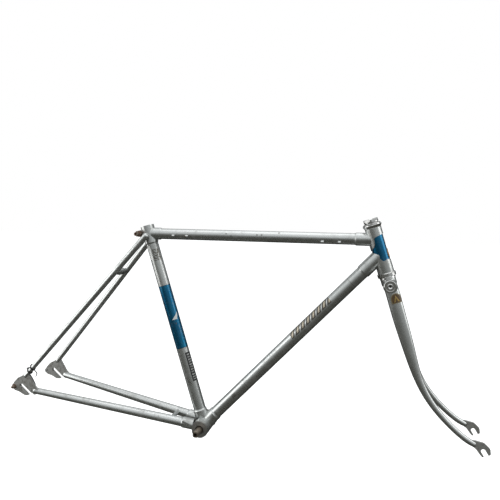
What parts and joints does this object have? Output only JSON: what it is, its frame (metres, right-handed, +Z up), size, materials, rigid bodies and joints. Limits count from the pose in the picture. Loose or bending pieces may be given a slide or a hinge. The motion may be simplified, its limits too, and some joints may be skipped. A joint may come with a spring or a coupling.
{
  "type": "bicycle frame",
  "caption": "Lugged steel road bicycle frame with its fork, headset and bottom bracket spindle, in silver metallic paint with blue bands.",
  "frame": {"origin": "middle of the bottom bracket, on the crank axis and in the middle plane", "axes": "+X points forward along the bicycle, +Y to the rider's left along the crank axis, +Z up, with the top tube level"},
  "size_m": [1.0996, 0.1532, 0.5234],
  "materials": {
    "frame_paint": "silver metallic lacquer with dark blue bands",
    "stay_paint": "silver metallic lacquer",
    "fork_paint": "silver metallic lacquer",
    "lug_paint": "silver metallic lacquer with worn bright edges",
    "bare_steel": "dull forged steel, lightly stained",
    "spindle_steel": "ground steel, greasy and tarnished",
    "ball_steel": "polished steel",
    "cage_steel": "pressed steel",
    "headset_chrome": "chromium plate",
    "bracket_cup_steel": "oiled steel",
    "cap_chrome": "chromium plate",
    "fastener_steel": "zinc plated steel with brown rust",
    "badge_enamel": "orange and gold enamel",
    "tie_plastic": "black nylon"
  },
  "bodies": {
    "frame": {"seat_tube": "frame_paint", "top_tube": "frame_paint", "down_tube": "frame_paint", "head_tube": "frame_paint", "upper_head_lug": "lug_paint", "lower_head_lug": "lug_paint", "seat_lug": "lug_paint", "bottom_bracket_shell": "lug_paint", "chainstay_bridge": "stay_paint", "brake_bridge": "stay_paint", "fixed_cup": "bracket_cup_steel", "adjustable_cup": "bracket_cup_steel", "bottom_bracket_lockring": "bracket_cup_steel", "upper_head_cup": "headset_chrome", "lower_head_cup": "headset_chrome", "seat_binder_bolt": "fastener_steel", "seat_binder_nut": "fastener_steel", "seat_binder_washers": "fastener_steel", "rear_cable_guides": "frame_paint", "front_cable_guides": "frame_paint", "eyelet_bolt": "fastener_steel", "head_badge": "badge_enamel", "right_chainstay": "stay_paint", "left_chainstay": "stay_paint", "right_seatstay": "stay_paint", "left_seatstay": "stay_paint", "right_seatstay_cap": "stay_paint", "left_seatstay_cap": "stay_paint", "right_dropout": "bare_steel", "left_dropout": "bare_steel", "upper_cable_tie": "tie_plastic", "lower_cable_tie": "tie_plastic"},
    "fork": {"steerer_tube": "bare_steel", "fork_crown": "fork_paint", "right_crown_cap": "cap_chrome", "left_crown_cap": "cap_chrome", "right_fork_blade": "fork_paint", "left_fork_blade": "fork_paint", "right_fork_end": "bare_steel", "left_fork_end": "bare_steel", "crown_race": "headset_chrome", "headset_adjusting_cone": "headset_chrome", "headset_keyed_washer": "headset_chrome", "headset_locknut": "headset_chrome"},
    "upper_headset_bearing": {"upper_headset_balls": "ball_steel", "upper_headset_ball_cage": "cage_steel"},
    "lower_headset_bearing": {"lower_headset_balls": "ball_steel", "lower_headset_ball_cage": "cage_steel"},
    "spindle": {"bottom_bracket_spindle": "spindle_steel"},
    "right_bracket_bearing": {"right_bracket_balls": "ball_steel", "right_bracket_ball_cage": "cage_steel"},
    "left_bracket_bearing": {"left_bracket_balls": "ball_steel", "left_bracket_ball_cage": "cage_steel"}
  },
  "joints": [
    {"name": "steering", "type": "hinge", "parent": "frame", "child": "fork", "pos_m": [0.40903, 0, 0.38264], "axis": [-0.309, 0, 0.9511], "continuous": true},
    {"name": "upper_headset_roll", "type": "hinge", "parent": "frame", "child": "upper_headset_bearing", "pos_m": [0.37813, 0, 0.47774], "axis": [-0.309, 0, 0.9511], "continuous": true},
    {"name": "lower_headset_roll", "type": "hinge", "parent": "frame", "child": "lower_headset_bearing", "pos_m": [0.40903, 0, 0.38264], "axis": [-0.309, 0, 0.9511], "continuous": true},
    {"name": "spindle_spin", "type": "hinge", "parent": "frame", "child": "spindle", "pos_m": [0, 0, 0], "axis": [0, 1, 0], "continuous": true},
    {"name": "right_bracket_roll", "type": "hinge", "parent": "frame", "child": "right_bracket_bearing", "pos_m": [0, -0.0255, 0], "axis": [0, 1, 0], "continuous": true},
    {"name": "left_bracket_roll", "type": "hinge", "parent": "frame", "child": "left_bracket_bearing", "pos_m": [0, 0.0255, 0], "axis": [0, 1, 0], "continuous": true}
  ],
  "couplings": [
    {"joint": "upper_headset_roll", "follows": "steering", "ratio": 0.456},
    {"joint": "lower_headset_roll", "follows": "steering", "ratio": 0.456},
    {"joint": "right_bracket_roll", "follows": "spindle_spin", "ratio": 0.409},
    {"joint": "left_bracket_roll", "follows": "spindle_spin", "ratio": 0.409}
  ]
}
